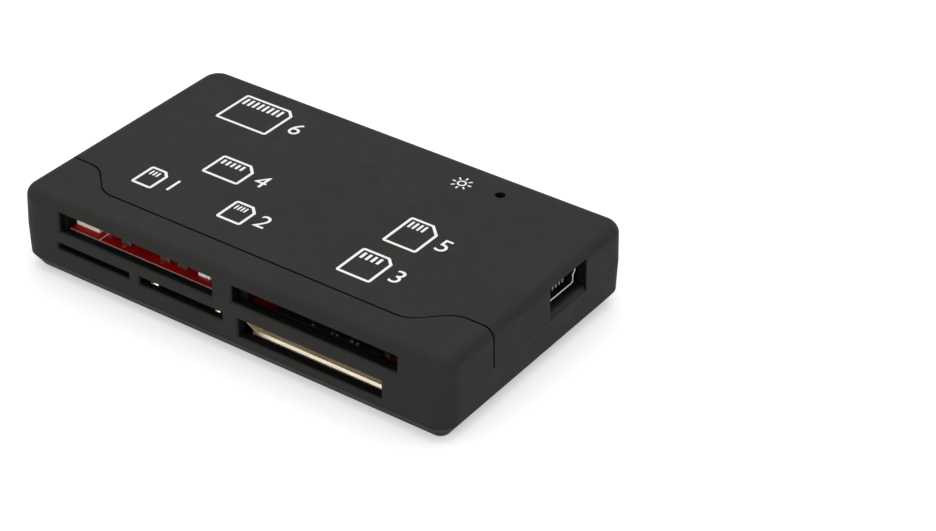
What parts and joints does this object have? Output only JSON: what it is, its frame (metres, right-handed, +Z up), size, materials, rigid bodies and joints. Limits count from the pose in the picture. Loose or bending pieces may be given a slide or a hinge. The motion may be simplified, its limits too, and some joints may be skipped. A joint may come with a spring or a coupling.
{
  "type": "memory card reader",
  "caption": "Flat pocket memory card reader: black snapped plastic case, card mouths in a front bezel and rear wall, red circuit board with sockets and a small cable port in one side.",
  "frame": {"origin": "middle of the base, on the surface that the reader lies on", "axes": "+X along the long side towards the cable port, -Y towards the front with the card mouths, +Z up"},
  "size_m": [0.0724, 0.0428, 0.0127],
  "materials": {
    "case_plastic": "soft-touch black, matte",
    "board_mask": "red solder mask, glossy",
    "socket_plastic": "black moulded resin",
    "contact_gold": "gold flash over phosphor bronze",
    "shell_metal": "tinned sheet steel, faintly warm",
    "port_metal": "nickel plated sheet steel",
    "switch_plastic": "cream moulded resin",
    "chip_plastic": "black moulding compound",
    "tinned_lead": "tinned, satin",
    "lamp_lens": "clear cast resin",
    "capacitor_body": "tan ceramic",
    "resistor_body": "black glass coat on ceramic"
  },
  "bodies": {
    "root": {"top_cover": "case_plastic", "bottom_cover": "case_plastic", "front_bezel": "case_plastic", "circuit_board": "board_mask", "wide_slot_frame": "socket_plastic", "wide_slot_contacts": "contact_gold", "picture_slot_frame": "socket_plastic", "picture_slot_contacts": "contact_gold", "card_switch_body": "switch_plastic", "card_switch_lever": "shell_metal", "stick_slot_shell": "shell_metal", "stick_slot_insulator": "socket_plastic", "stick_slot_contacts": "contact_gold", "micro_slot_shell": "shell_metal", "micro_slot_insulator": "socket_plastic", "micro_slot_contacts": "contact_gold", "mini_slot_shell": "shell_metal", "mini_slot_insulator": "socket_plastic", "mini_slot_contacts": "contact_gold", "rear_header_body": "socket_plastic", "rear_header_pins": "contact_gold", "usb_port_shell": "port_metal", "usb_port_insulator": "socket_plastic", "usb_port_contacts": "contact_gold", "controller_chip": "chip_plastic", "controller_leads": "tinned_lead", "crystal_can": "port_metal", "regulator_body": "chip_plastic", "regulator_leads": "tinned_lead", "indicator_led": "lamp_lens", "chip_capacitors": "capacitor_body", "chip_resistors": "resistor_body", "chip_terminals": "tinned_lead", "resistor_network": "switch_plastic"}
  },
  "joints": []
}
